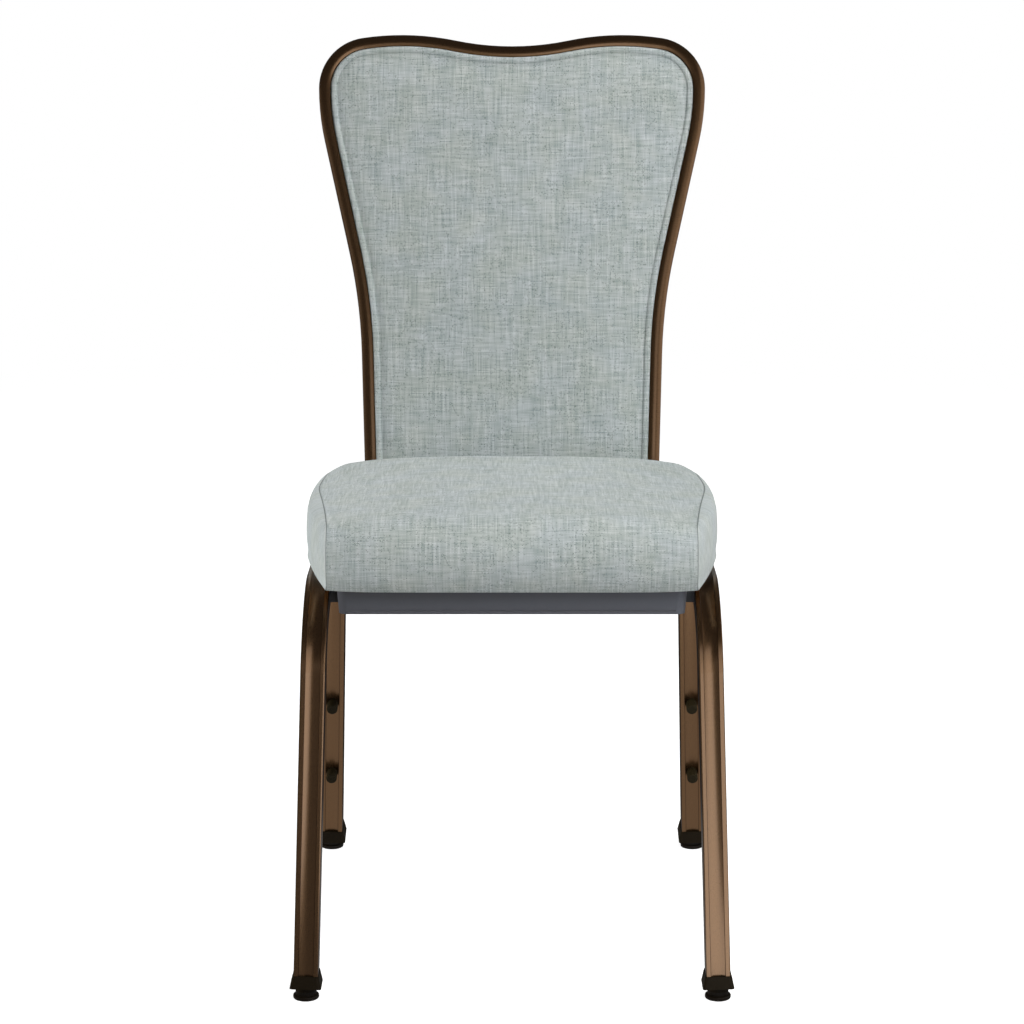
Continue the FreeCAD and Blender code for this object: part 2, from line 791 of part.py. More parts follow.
def back_screw_tools(gap):
    length = back_board_thickness + slide_gap + bar_thickness
    return [placed(countersunk(back_screw_diameter + 2 * gap, length, back_screw_head + 2 * gap,
                               back_screw_head_height, Vector(side * bar_offset_x, height, board_front_face),
                               upward * -1), back_placement())
            for side in sides.values() for height in back_screw_places]


def back_board():
    inset = loop_width / 2 + slide_gap + loop_width / 2 - loop_slot_depth
    board = Part.Face(panel_ring(inset, -board_front_face)).extrude(Vector(0, 0, back_board_thickness))
    board = placed(board, back_placement())
    for tool in back_screw_tools(slide_gap):
        board = board.cut(tool)
    return board


def crowned(body, height, radius):
    # body under a wide cylinder whose axis runs up the back
    reach = 3 * loop_dip_height
    base = Vector(0, -reach / 2, height - math.copysign(radius, height))
    return body.common(Part.makeCylinder(radius, reach, base, Vector(0, 1, 0)))


def back_pad():
    inset = loop_width + fit_gap
    body = Part.makeLoft([panel_ring(inset, board_front_face + slide_gap), panel_ring(inset, pad_edge_height),
                          panel_ring(inset + pad_edge_slope, pad_crown_height + cut_margin)], True, True)
    channel = Part.Face(panel_ring(inset + pad_border, pad_edge_height))
    channel = channel.cut(Part.Face(panel_ring(inset + pad_border + pad_channel_width, pad_edge_height)))
    channel = channel.extrude(Vector(0, 0, pad_crown_height))
    channel = channel.cut(crowned(channel, pad_crown_height - pad_channel_depth, pad_crown_radius))
    body = crowned(body, pad_crown_height, pad_crown_radius).cut(channel)
    return placed(body, back_placement())


def back_cover():
    inset = loop_width + fit_gap
    front = -board_front_face - slide_gap
    body = Part.Face(panel_ring(inset, front)).extrude(Vector(0, 0, -cover_crown_height))
    body = crowned(body, -cover_crown_height, cover_crown_radius)
    pocket_width = bar_width + 2 * fit_gap
    pocket_depth = bar_thickness + slide_gap + fit_gap
    pocket_height = bar_top + fit_gap - loop_bottom
    for side in sides.values():
        corner = Vector(side * bar_offset_x - pocket_width / 2, loop_bottom, front - pocket_depth)
        body = body.cut(Part.makeBox(pocket_width, pocket_height, pocket_depth, corner))
    return placed(body, back_placement())


def build():
    parts = {}
    for name, side in sides.items():
        parts[name + "_side_frame"] = side_frame(side)
        parts[name + "_flex_bar"] = flex_bar(side)
        for end, front in (("front", True), ("rear", False)):
            parts[f"{end}_{name}_boot"] = boot(side, front)
            parts[f"{end}_{name}_glide"] = glide(side, front)
        for level, height in bumper_heights.items():
            parts[f"{level}_{name}_stack_bumper"] = bumper(side, height)
    for place in cross_tube_places:
        parts[place + "_cross_tube"] = cross_tube(place)
    parts["seat_brackets"] = seat_brackets()
    parts["seat_board"] = seat_board()
    parts["seat_screws"] = seat_screws()
    parts["seat_cushion"] = seat_cushion()
    parts["seat_pan"] = seat_pan()
    parts["pan_screws"] = pan_screws()
    parts["flex_bolts"] = Part.makeCompound(flex_bolt_tools(0))
    parts["flex_nuts"] = flex_nuts()
    parts["back_frame"] = back_frame()
    parts["back_board"] = back_board()
    parts["back_screws"] = Part.makeCompound(back_screw_tools(0))
    parts["back_pad"] = back_pad()
    parts["back_cover"] = back_cover()
    return parts


os.makedirs("parts", exist_ok=True)
for node, shape in build().items():
    move_to_origin(shape).exportStep(f"parts/{node}.step")

axis = move_to_origin(Part.Vertex(flex_axis())).Point
print("flex axis", round(axis.y, 3), round(axis.z, 3))
for end, front in (("front", True), ("rear", False)):
    foot = foot_centre(1, front)
    print(end, "glide axis", round(foot.x, 3), round(foot.y - depth_middle, 3))
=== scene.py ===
import math

import bpy
import numpy as np
from mathutils import Matrix, Vector


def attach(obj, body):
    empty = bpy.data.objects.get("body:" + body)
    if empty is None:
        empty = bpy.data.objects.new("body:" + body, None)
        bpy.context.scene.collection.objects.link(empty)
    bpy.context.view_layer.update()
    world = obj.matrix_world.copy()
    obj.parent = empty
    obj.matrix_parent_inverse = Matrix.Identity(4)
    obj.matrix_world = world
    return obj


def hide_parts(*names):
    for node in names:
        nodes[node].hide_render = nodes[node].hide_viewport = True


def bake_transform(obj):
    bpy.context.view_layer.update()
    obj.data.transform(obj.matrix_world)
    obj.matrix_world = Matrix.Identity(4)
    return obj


# Banquet chair: bronze side frames and back loop, slub linen seat and back on sprung bars.
# Blender works in metres; the sizes in the dictionaries are millimetres unless a note says otherwise.

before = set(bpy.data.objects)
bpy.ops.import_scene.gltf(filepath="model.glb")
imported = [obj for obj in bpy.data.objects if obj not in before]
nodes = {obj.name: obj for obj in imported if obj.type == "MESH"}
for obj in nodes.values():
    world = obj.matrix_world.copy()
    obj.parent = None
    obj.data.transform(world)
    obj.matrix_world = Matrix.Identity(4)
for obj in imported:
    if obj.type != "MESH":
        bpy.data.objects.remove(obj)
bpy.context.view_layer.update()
scene = bpy.context.scene
mm = 0.001
print("frame loaded:", len(nodes), "nodes")


# Small tools

def hexToLinear(colour):
    values = [int(colour[i:i + 2], 16) / 255 for i in (1, 3, 5)]
    return tuple(v / 12.92 if v <= 0.04045 else ((v + 0.055) / 1.055) ** 2.4 for v in values) + (1.0,)


def addNode(tree, kind, settings=(), links=()):
    # lower-case settings are the node's own, the others are sockets by name or number
    node = tree.nodes.new("ShaderNode" + kind)
    for key, value in dict(settings).items():
        if isinstance(key, str) and key.islower():
            setattr(node, key, value)
        else:
            node.inputs[key].default_value = value
    for key, socket in dict(links).items():
        tree.links.new(socket, node.inputs[key])
    return node


def newMaterial(name, surface):
    material = bpy.data.materials.new(name)
    material.use_nodes = True
    tree = material.node_tree
    tree.nodes.clear()
    shader = addNode(tree, "BsdfPrincipled", surface)
    addNode(tree, "OutputMaterial", {}, {"Surface": shader.outputs[0]})
    return material, tree, shader


def addMesh(name, points, faces):
    mesh = bpy.data.meshes.new(name)
    mesh.from_pydata([tuple(p) for p in points], [], faces)
    mesh.polygons.foreach_set("use_smooth", [True] * len(mesh.polygons))
    mesh.update()
    piece = bpy.data.objects.new(name, mesh)
    scene.collection.objects.link(piece)
    return piece


def readPoints(mesh):
    points = np.zeros(len(mesh.vertices) * 3)
    mesh.vertices.foreach_get("co", points)
    return points.reshape(-1, 3)


def placePoints(mesh, points):
    mesh.vertices.foreach_set("co", np.asarray(points).ravel())
    mesh.update()


def readNormals(mesh):
    normals = np.zeros(len(mesh.vertices) * 3, np.float32)
    mesh.vertex_normals.foreach_get("vector", normals)
    return normals.reshape(-1, 3)


def setVectors(mesh, name, vectors):
    layer = mesh.attributes.new(name, "FLOAT_VECTOR", "POINT")
    layer.data.foreach_set("vector", np.asarray(vectors, np.float32).ravel())


def setValues(mesh, name, values):
    layer = mesh.attributes.new(name, "FLOAT", "POINT")
    layer.data.foreach_set("value", np.asarray(values, np.float32))


def readValues(mesh, name):
    values = np.zeros(len(mesh.vertices), np.float32)
    mesh.attributes[name].data.foreach_get("value", values)
    return values


def settle(piece):
    # modifiers become plain mesh
    graph = bpy.context.evaluated_depsgraph_get()
    mesh = bpy.data.meshes.new_from_object(piece.evaluated_get(graph))
    piece.modifiers.clear()
    piece.data = mesh


def smoothOnce(piece):
    smooth = piece.modifiers.new("smooth", "SUBSURF")
    smooth.levels = smooth.render_levels = 1
    settle(piece)


def creaseEdges(mesh, onCrease, amount):
    ends = np.zeros(len(mesh.edges) * 2, np.int32)
    mesh.edges.foreach_get("vertices", ends)
    both = onCrease[ends.reshape(-1, 2)].all(axis=1)
    layer = mesh.attributes.new("crease_edge", "FLOAT", "EDGE")
    layer.data.foreach_set("value", both.astype(np.float32) * amount)


def prism(name, outline, low, high):
    count = len(outline)
    points = [(x, y, z) for z in (low, high) for x, y in outline]
    faces = [tuple(reversed(range(count))), tuple(range(count, 2 * count))]
    faces += [(i, (i + 1) % count, count + (i + 1) % count, count + i) for i in range(count)]
    return addMesh(name, points, faces)


def cutAway(piece, cutters):
    for cutter in cutters:
        cut = piece.modifiers.new("cut", "BOOLEAN")
        cut.operation = "DIFFERENCE"
        cut.object = cutter
    settle(piece)
    for cutter in cutters:
        bpy.data.objects.remove(cutter)


def stuff(piece, sewn, fill):
    # cover swells under its filling, held along the sewn points, by no more than the reach
    start = readPoints(piece.data)
    group = piece.vertex_groups.new(name="sewn")
    group.add([int(i) for i in sewn], 1.0, "REPLACE")
    cloth = piece.modifiers.new("stuffing", "CLOTH")
    cloth.settings.quality = fill["quality"]
    cloth.settings.mass = fill["mass"]
    cloth.settings.tension_stiffness = fill["stretch"]
    cloth.settings.compression_stiffness = fill["stretch"]
    cloth.settings.bending_stiffness = fill["bend"]
    cloth.settings.use_pressure = True
    cloth.settings.uniform_pressure_force = fill["pressure"]
    cloth.settings.effector_weights.gravity = 0
    cloth.settings.vertex_group_mass = "sewn"
    cloth.collision_settings.use_collision = False
    cloth.point_cache.frame_start = 1
    cloth.point_cache.frame_end = fill["frames"]
    for step in range(1, fill["frames"] + 1):
        scene.frame_set(step)
    graph = bpy.context.evaluated_depsgraph_get()
    swollen = readPoints(piece.evaluated_get(graph).data)
    piece.modifiers.clear()
    piece.vertex_groups.clear()
    scene.frame_set(1)
    move = swollen - start
    length = np.linalg.norm(move, axis=1, keepdims=True)
    reach = fill["reach"] * mm
    move *= reach * np.tanh(length / reach) / np.maximum(length, 1e-9)
    placePoints(piece.data, start + move)
    print(piece.name, "swelled by", round(float(length.mean()) / mm, 2), "mm, most",
          round(float(length.max()) / mm, 2))


# Camera

view = {"lens": 112.83, "place": (0.0, -3.2123, 1.1466), "down": 12.525}  # metres, degrees

camera = bpy.data.objects.new("camera", bpy.data.cameras.new("camera"))
camera.data.lens = view["lens"]
camera.data.sensor_width = 36.0
camera.location = view["place"]
camera.rotation_euler = (math.radians(90 - view["down"]), 0, 0)
scene.collection.objects.link(camera)
scene.camera = camera
scene.view_settings.view_transform = "Standard"


# Studio: metres; radiance 1 is white

softboxes = {
    "overhead": {"place": (1.0, 0.25, 2.4), "aim": (0, 0, 0.4), "size": (1.6, 1.3), "radiance": 3.9,
                 "inMetal": False},
    "key": {"place": (1.25, -1.7, 1.6), "aim": (0, 0, 0.5), "size": (1.6, 1.2), "radiance": 6.1,
            "inMetal": False},
    "leftFill": {"place": (-4.2, 0.5, 0.5), "aim": (0, 0, 0.45), "size": (3.2, 2.4), "radiance": 9.0,
                 "inMetal": False},
    "rightSide": {"place": (2.4, -0.1, 1.1), "aim": (0, -0.1, 0.5), "size": (3.2, 2.1), "radiance": 0.5,
                  "inCloth": False},
    "rightFlat": {"place": (1.05, -2.1, 0.6), "aim": (1.05, 0, 0.6), "size": (1.9, 1.2),
                  "colour": "#F0F6FF", "radiance": 1.15, "inCloth": False},
    "rightCard": {"place": (0.62, -1.2, 0.004), "aim": (0.62, -1.2, 1), "size": (1.2, 1.8),
                  "colour": "#E0ECFF", "radiance": 1.8, "inCloth": False},
    "underCard": {"place": (0, 0.06, 0.15), "aim": (0, 1.06, 1.15), "size": (0.7, 0.5),
                  "radiance": 0.32, "inCloth": False},
}


def addSoftbox(name, box):
    lamp = bpy.data.lights.new(name, "AREA")
    lamp.shape = "RECTANGLE"
    lamp.size, lamp.size_y = box["size"]
    lamp.energy = box["radiance"] * math.pi * box["size"][0] * box["size"][1]
    lamp.color = hexToLinear(box.get("colour", room["white"]))[:3]
    holder = bpy.data.objects.new(name, lamp)
    holder.location = box["place"]
    way = Vector(box["aim"]) - Vector(box["place"])
    holder.rotation_euler = way.to_track_quat("-Z", "Y").to_euler()
    holder.visible_camera = False
    holder.visible_glossy = box.get("inMetal", True)
    holder.visible_diffuse = box.get("inCloth", True)
    scene.collection.objects.link(holder)


room = {"ambient": 0.18, "white": "#FFFFFF", "ceilingInMetal": 0.075, "horizonInMetal": 0.5}

for boxName, softbox in softboxes.items():
    addSoftbox(boxName, softbox)

world = bpy.data.worlds.new("studio")
world.use_nodes = True
scene.world = world
tree = world.node_tree
tree.nodes.clear()
path = addNode(tree, "LightPath").outputs
way = addNode(tree, "SeparateXYZ", {}, {0: addNode(tree, "TexCoord").outputs["Generated"]})
inMetal = addNode(tree, "MapRange", {"From Min": 0.0, "From Max": 0.06, "To Min": room["horizonInMetal"],
                                     "To Max": room["ceilingInMetal"]}, {"Value": way.outputs["Z"]})
bounced = addNode(tree, "Math", {"operation": "MAXIMUM"},
                  {0: path["Is Glossy Ray"], 1: path["Is Transmission Ray"]})
level = addNode(tree, "Mix", {2: room["ambient"]}, {0: bounced.outputs[0], 3: inMetal.outputs[0]})
level = addNode(tree, "Mix", {3: 1.0}, {0: path["Is Camera Ray"], 2: level.outputs[0]})
sky = addNode(tree, "Background", {"Color": hexToLinear(room["white"])}, {"Strength": level.outputs[0]})
addNode(tree, "OutputWorld", {}, {"Surface": sky.outputs[0]})

# inMetal and behindInMetal set the floor's painted glow as metal sees it, in front and behind
studioFloor = {"radius": 6.0, "fadeFrom": 1.4, "fadeTo": 3.4, "pale": "#D4D4D2", "lift": 0.85,
               "inMetal": 0.16, "behindInMetal": 0.02, "litFrom": 0.2, "litTo": 0.4, "sides": 96}


def paleFloor():
    # smooth painted studio floor: white to the eye, with the soft shadow of what stands on it; metal sees a
    # painted glow instead of its paint, strong in front of the chair and faint behind it
    material = bpy.data.materials.new("studioFloorPaint")
    material.use_nodes = True
    tree = material.node_tree
    tree.nodes.clear()
    path = addNode(tree, "LightPath").outputs
    place = addNode(tree, "TexCoord").outputs["Object"]
    reach = addNode(tree, "VectorMath", {"operation": "LENGTH"}, {0: place}).outputs["Value"]
    fade = addNode(tree, "MapRange", {"From Min": studioFloor["fadeFrom"], "From Max": studioFloor["fadeTo"],
                                      "interpolation_type": "SMOOTHSTEP"}, {"Value": reach}).outputs[0]
    paint = addNode(tree, "BsdfDiffuse", {"Color": hexToLinear(studioFloor["pale"])})
    lift = addNode(tree, "Emission", {"Strength": studioFloor["lift"]})
    lifted = addNode(tree, "AddShader", {}, {0: paint.outputs[0], 1: lift.outputs[0]})
    white = addNode(tree, "Emission", {"Strength": 1.0})
    seen = addNode(tree, "MixShader", {}, {0: fade, 1: lifted.outputs[0], 2: white.outputs[0]})
    # painted glow seen only in metal, by depth: strong in front, faint behind
    depth = addNode(tree, "SeparateXYZ", {}, {0: place}).outputs["Y"]
    paintedGlowLevel = addNode(tree, "MapRange", {
        "From Min": studioFloor["litFrom"], "From Max": studioFloor["litTo"],
        "To Min": studioFloor["inMetal"], "To Max": studioFloor["behindInMetal"]}, {"Value": depth})
    paintedGlowInMetal = addNode(tree, "Emission", {}, {"Strength": paintedGlowLevel.outputs[0]})
    other = addNode(tree, "MixShader", {}, {0: path["Is Glossy Ray"], 1: paint.outputs[0],
                                            2: paintedGlowInMetal.outputs[0]})
    above = addNode(tree, "MixShader", {}, {0: path["Is Camera Ray"], 1: other.outputs[0],
                                            2: seen.outputs[0]})
    back = addNode(tree, "NewGeometry").outputs["Backfacing"]
    clear = addNode(tree, "BsdfTransparent")
    both = addNode(tree, "MixShader", {}, {0: back, 1: above.outputs[0], 2: clear.outputs[0]})
    addNode(tree, "OutputMaterial", {}, {"Surface": both.outputs[0]})
    return material


angles = [2 * math.pi * i / studioFloor["sides"] for i in range(studioFloor["sides"])]
rim = [(studioFloor["radius"] * math.cos(a), studioFloor["radius"] * math.sin(a), 0) for a in angles]
floor = addMesh("studio_floor", rim, [tuple(range(studioFloor["sides"]))])
floor.data.materials.append(paleFloor())
print("studio ready")


# Materials

def slubLinen(name, look):
    # linen-look polyester, plain woven from uneven slub yarn: crisp crossings, lighter and darker
    # yarns both ways, short dark green-grey slubs crowded in patches, dull with a slight sheen
    material, tree, shader = newMaterial(name, {
        "Roughness": 0.86, "Specular IOR Level": 0.25, "Sheen Weight": 0.12, "Sheen Roughness": 0.45})
    weave = addNode(tree, "Attribute", {"attribute_name": look["coordinates"]}).outputs["Vector"]
    yarn, slubEnd = look["yarn"], look["slubEnd"]

    def yarns(isWarp, length, shift):
        # tone that drifts along each yarn and changes at once from yarn to yarn
        step, apart = (yarn * mm, 1e-7), yarn / look["yarnJump"]
        across, up = (apart, length) if isWarp else (length, apart)
        lay = addNode(tree, "VectorMath", {"operation": "SNAP", 1: (*(step if isWarp else step[::-1]), 1.0)},
                      {0: weave})
        place = addNode(tree, "VectorMath", {
            "operation": "MULTIPLY_ADD", 1: (1 / (across * mm), 1 / (up * mm), 0), 2: (shift, shift, 0)},
            {0: lay.outputs[0]})
        return addNode(tree, "TexNoise", {"noise_dimensions": "2D", "Scale": 1.0, "Detail": 1.0},
                       {"Vector": place.outputs[0]}).outputs[0]

    def lengths(across, up, shift):
        # one random value for each length of yarn
        place = addNode(tree, "VectorMath", {
            "operation": "MULTIPLY_ADD", 1: (1 / (across * mm), 1 / (up * mm), 0), 2: (shift, shift, 0)},
            {0: weave})
        number = addNode(tree, "VectorMath", {"operation": "FLOOR"}, {0: place.outputs[0]})
        return addNode(tree, "TexWhiteNoise", {"noise_dimensions": "2D"},
                       {"Vector": number.outputs[0]}).outputs[0]

    def patches(size, shift):
        # cloudy tone with patches of one size
        place = addNode(tree, "VectorMath", {
            "operation": "MULTIPLY_ADD", 1: (1 / (size * mm), 1 / (size * mm), 0), 2: (shift, shift, 0)},
            {0: weave})
        return addNode(tree, "TexNoise", {"noise_dimensions": "2D", "Scale": 1.0, "Detail": 3.0},
                       {"Vector": place.outputs[0]}).outputs[0]

    # weft over warp at every second crossing
    over = addNode(tree, "TexChecker", {"Scale": 1 / (yarn * mm)}, {"Vector": weave}).outputs["Fac"]
    shareOver = addNode(tree, "MapRange", {
        "To Min": 0.5 - look["crossing"], "To Max": 0.5 + look["crossing"]}, {"Value": over}).outputs[0]
    top = addNode(tree, "Mix", {}, {0: shareOver, 2: yarns(True, look["warpDrift"], 3.3),
                                    3: yarns(False, look["weftDrift"], 8.7)}).outputs[0]
    shade = addNode(tree, "MapRange", {"From Min": 0.3, "From Max": 0.7, "clamp": False,
                                       "To Min": look["middle"] - look["yarnTone"],
                                       "To Max": look["middle"] + look["yarnTone"]}, {"Value": top})
    tone = addNode(tree, "Math", {"operation": "MULTIPLY_ADD", 1: look["patchTone"]},
                   {0: patches(look["patch"], 21.3), 2: shade.outputs[0]})
    cool = addNode(tree, "Mix", {"data_type": "RGBA", 6: hexToLinear(look["coolDark"]),
                                 7: hexToLinear(look["coolLight"])}, {0: tone.outputs[0]})
    green = addNode(tree, "Mix", {"data_type": "RGBA", 6: hexToLinear(look["greenDark"]),
                                  7: hexToLinear(look["greenLight"])}, {0: tone.outputs[0]})
    hue = addNode(tree, "MapRange", {"From Min": 0.35, "From Max": 0.65},
                  {"Value": patches(look["drift"], 7.9)})
    cloth = addNode(tree, "Mix", {"data_type": "RGBA"},
                    {0: hue.outputs[0], 6: cool.outputs[2], 7: green.outputs[2]})
    # slubs: dark ends, crowded in some patches
    crowd = addNode(tree, "MapRange", {"From Min": 0.4, "From Max": 0.65, "To Min": look["slubs"][0],
                                       "To Max": look["slubs"][1]}, {"Value": patches(look["drift"], 33.1)})
    ends = addNode(tree, "Mix", {}, {0: over, 2: lengths(yarn, slubEnd, 0.37),
                                     3: lengths(slubEnd, yarn, 0.61)})
    short = addNode(tree, "Math", {"operation": "GREATER_THAN"}, {0: ends.outputs[0], 1: crowd.outputs[0]})
    amount = addNode(tree, "Math", {"operation": "MULTIPLY", 1: look["slubTone"]}, {0: short.outputs[0]})
    slubbed = addNode(tree, "Mix", {"data_type": "RGBA", 7: hexToLinear(look["slub"])},
                      {0: amount.outputs[0], 6: cloth.outputs[2]})
    # seam lines: the thread's colour together with painted shade in the seam's crease and along the back
    # pad's groove
    seam = addNode(tree, "Attribute", {"attribute_name": "seam"}).outputs["Fac"]
    sewn = addNode(tree, "Mix", {"data_type": "RGBA", 7: hexToLinear(look["threadAndSeamShade"])},
                   {0: seam, 6: slubbed.outputs[2]})
    bump = addNode(tree, "Bump", {"Strength": look["relief"], "Distance": look["reliefHeight"] * mm},
                   {"Height": top})
    tree.links.new(sewn.outputs[2], shader.inputs["Base Color"])
    tree.links.new(bump.outputs[0], shader.inputs["Normal"])
    return material


# real yarn is about 0.6 mm; drawn more than twice as coarse so that the weave shows
straightCut = {"coordinates": "weave", "yarn": 1.3, "yarnJump": 7.31, "crossing": 0.2,
               "warpDrift": 40.0, "weftDrift": 24.0,
               "slubEnd": 1.7, "patch": 18.0, "drift": 45.0, "coolDark": "#8C9897", "coolLight": "#C8CECF",
               # the seam colour stands for the thread and for painted shade in the seam at once
               "greenDark": "#8B9792", "greenLight": "#C8CDCA", "slub": "#606D63", "threadAndSeamShade": "#4A5250",
               "middle": 0.52, "yarnTone": 0.36, "patchTone": 0.06, "slubs": (0.975, 0.915), "slubTone": 0.62,
               "relief": 0.3, "reliefHeight": 0.2}
# side panels: the same cloth cut on the bias, its middle tone raised as painted light on the sides, with
# softer yarn and slub contrast
biasCutPaintedLighter = dict(straightCut, coordinates="biasWeave", middle=0.6, yarnTone=0.25, slubTone=0.3)


# real flake is about 0.05 mm; drawn coarser so that its grain shows
lacquer = {"flake": 0.45, "dark": "#6E4E31", "light": "#8E6A45", "rough": (0.26, 0.36),
           "coat": 0.6, "coatRough": 0.22, "relief": 0.08, "reliefHeight": 0.05}


def bronzeLacquer():
    # aluminium extrusion in baked bronze metallic lacquer: satin, fine flake grain, clear coat
    c = lacquer
    material, tree, shader = newMaterial("aluminiumExtrusionBronzeLacquer", {
        "Metallic": 1.0, "Coat Weight": c["coat"], "Coat Roughness": c["coatRough"]})
    place = addNode(tree, "TexCoord").outputs["Object"]
    grain = addNode(tree, "TexNoise", {"Scale": 1 / (c["flake"] * mm), "Detail": 1.0}, {"Vector": place})
    tint = addNode(tree, "Mix", {"data_type": "RGBA", 6: hexToLinear(c["dark"]), 7: hexToLinear(c["light"])},
                   {0: grain.outputs[0]})
    rough = addNode(tree, "MapRange", {"From Min": 0.3, "From Max": 0.7, "To Min": c["rough"][0],
                                       "To Max": c["rough"][1]}, {"Value": grain.outputs[0]})
    bump = addNode(tree, "Bump", {"Strength": c["relief"], "Distance": c["reliefHeight"] * mm},
                   {"Height": grain.outputs[0]})
    tree.links.new(tint.outputs[2], shader.inputs["Base Color"])
    tree.links.new(rough.outputs[0], shader.inputs["Roughness"])
    tree.links.new(bump.outputs[0], shader.inputs["Normal"])
    return material


def grainedSurface(name, surface, low, high, grainSize, rough, relief):
    # moulded or coated skin: two close tones, uneven gloss and a fine texture of one grain size
    material, tree, shader = newMaterial(name, surface)
    place = addNode(tree, "TexCoord").outputs["Object"]
    grain = addNode(tree, "TexNoise", {"Scale": 1 / (grainSize * mm), "Detail": 3.0}, {"Vector": place})
    tint = addNode(tree, "Mix", {"data_type": "RGBA", 6: hexToLinear(low), 7: hexToLinear(high)},
                   {0: grain.outputs[0]})
    gloss = addNode(tree, "MapRange", {"From Min": 0.3, "From Max": 0.7, "To Min": rough[0],
                                       "To Max": rough[1]}, {"Value": grain.outputs[0]})
    bump = addNode(tree, "Bump", {"Strength": 0.3, "Distance": relief * mm}, {"Height": grain.outputs[0]})
    tree.links.new(tint.outputs[2], shader.inputs["Base Color"])
    tree.links.new(gloss.outputs[0], shader.inputs["Roughness"])
    tree.links.new(bump.outputs[0], shader.inputs["Normal"])
    return material


plywood = {"along": 160.0, "across": 9.0, "veneer": 1.5, "dark": "#B08A58", "light": "#DEBF8E",
           "rough": 0.62, "relief": 0.2, "reliefHeight": 0.1}


def birchPlywood():
    # rotary-cut birch, sanded: long pale figure on the faces, veneer layers on the edges
    p = plywood
    material, tree, shader = newMaterial("birchPlywoodSanded", {"Roughness": p["rough"]})
    place = addNode(tree, "TexCoord").outputs["Object"]
    figure = addNode(tree, "VectorMath", {"operation": "MULTIPLY", 1: (
        1 / (p["along"] * mm), 1 / (p["across"] * mm), 1 / (p["veneer"] * mm))}, {0: place})
    grain = addNode(tree, "TexNoise", {"Scale": 1.0, "Detail": 4.0, "Distortion": 0.4},
                    {"Vector": figure.outputs[0]})
    tint = addNode(tree, "Mix", {"data_type": "RGBA", 6: hexToLinear(p["dark"]), 7: hexToLinear(p["light"])},
                   {0: grain.outputs[0]})
    bump = addNode(tree, "Bump", {"Strength": p["relief"], "Distance": p["reliefHeight"] * mm},
                   {"Height": grain.outputs[0]})
    tree.links.new(tint.outputs[2], shader.inputs["Base Color"])
    tree.links.new(bump.outputs[0], shader.inputs["Normal"])
    return material


linen = slubLinen("slubLinenWoven", straightCut)
# the side panels' cloth is drawn lighter than the main panel's: painted light
biasLinenPaintedLighter = slubLinen("slubLinenOnTheBiasPaintedLighter", biasCutPaintedLighter)
finishes = {
    "bronze_aluminium": bronzeLacquer(),
    # glass-filled nylon, moulded: almost black, fine spark-eroded grain
    "boot_plastic": grainedSurface("nylonMouldedBrownBlack", {"IOR": 1.53, "Specular IOR Level": 0.1},
                                   "#171108", "#231B0E", 0.5, (0.45, 0.6), 0.05),
    "glide_plastic": grainedSurface("nylonMouldedBlackGlide", {"IOR": 1.53, "Specular IOR Level": 0.2},
                                    "#140F09", "#1E170F", 0.6, (0.4, 0.55), 0.05),
    # natural rubber, moulded: dull black with a dusty bloom
    "bumper_rubber": grainedSurface("rubberMouldedBlack", {"IOR": 1.52, "Specular IOR Level": 0.1},
                                    "#1E190E", "#2C2515", 1.2, (0.55, 0.75), 0.08),
    # mild steel tube in black powder coat: fine orange peel
    "dark_steel": grainedSurface("steelTubeBlackPowderCoat", {"IOR": 1.5}, "#1B1A19", "#292725", 0.9,
                                 (0.42, 0.58), 0.06),
    # spring steel, oil blackened: dark grey metal with a drawn look
    "spring_steel": grainedSurface("springSteelOilBlackened", {"Metallic": 1.0}, "#35332F", "#4A4742", 0.8,
                                   (0.34, 0.5), 0.04),
    # zinc-plated steel, passivated: bluish bright metal
    "zinc_steel": grainedSurface("steelZincPlated", {"Metallic": 1.0}, "#A9ABA8", "#C6C8C4", 1.5,
                                 (0.24, 0.4), 0.03),
    "plywood": birchPlywood(),
    # polypropylene, moulded: cool dark grey with a soft grain
    "pan_plastic": grainedSurface("polypropyleneMouldedGrey", {"IOR": 1.49}, "#47484D", "#54555B", 0.7,
                                  (0.45, 0.6), 0.06),
}
print("materials ready")


# Seat cushion, in the plane of the seat

seatPlane = Matrix.Translation((0, -0.011, 0.3877)) @ Matrix.Rotation(math.radians(-2.1), 4, "X")
seatCushion = {
    "level": 14.3, "halfWidth": 207.8, "front": -261.2, "rear": 140.05, "widest": -57.0,
    "height": 73.0, "waist": 44.0, "frontTuck": 17.0, "rearTuck": 15.0, "noseHeight": 36.0,
    "frontRound": 32.0, "rearRound": 22.0, "frontDrop": 3.0, "rearDrop": 1.0,
    "chin": 0.19, "nose": 0.2, "shoulder": 0.19, "heel": 0.06,
    "sidePanel": 30.8, "bow": 0.01, "bowPower": 4.0, "frontSidePower": 1.55, "rearSidePower": 3.0,
    "crownPower": 3.5, "tuckPower": 7.5,
    "steps": (6, 10, 34, 9, 9, 18),            # chin, nose, crown, shoulder, heel, underside
    "seam": (177.0, 177.0, 177.0, 193.0, 191.0, 189.0),  # across, at each step's start
    "seamSwell": 10.0,                         # further out along the crown
    "mainColumns": 34, "sideColumns": 14, "seamEdge": (1.3, 4.5),
    "sideEdge": (0.018, 0.06, 0.13),           # first columns beside the seam, as shares of the side panel
    "slack": 2.0, "seamDip": 2.2, "baseCrease": 0.8, "flatTo": 203.0, "weld": 0.02,
}
seatBoard = {"halfWidth": 181.8, "front": -236.0, "rear": 117.05, "corner": 42.0, "thickness": 10.0,
             "gap": 0.3}
seatFill = {"pressure": 4.0, "frames": 20, "quality": 6, "mass": 0.35, "stretch": 30.0, "bend": 0.6,
            "reach": 5.0}


def roundedShare(along, power):
    return max(0.0, 1 - along ** power) ** (1 / power)


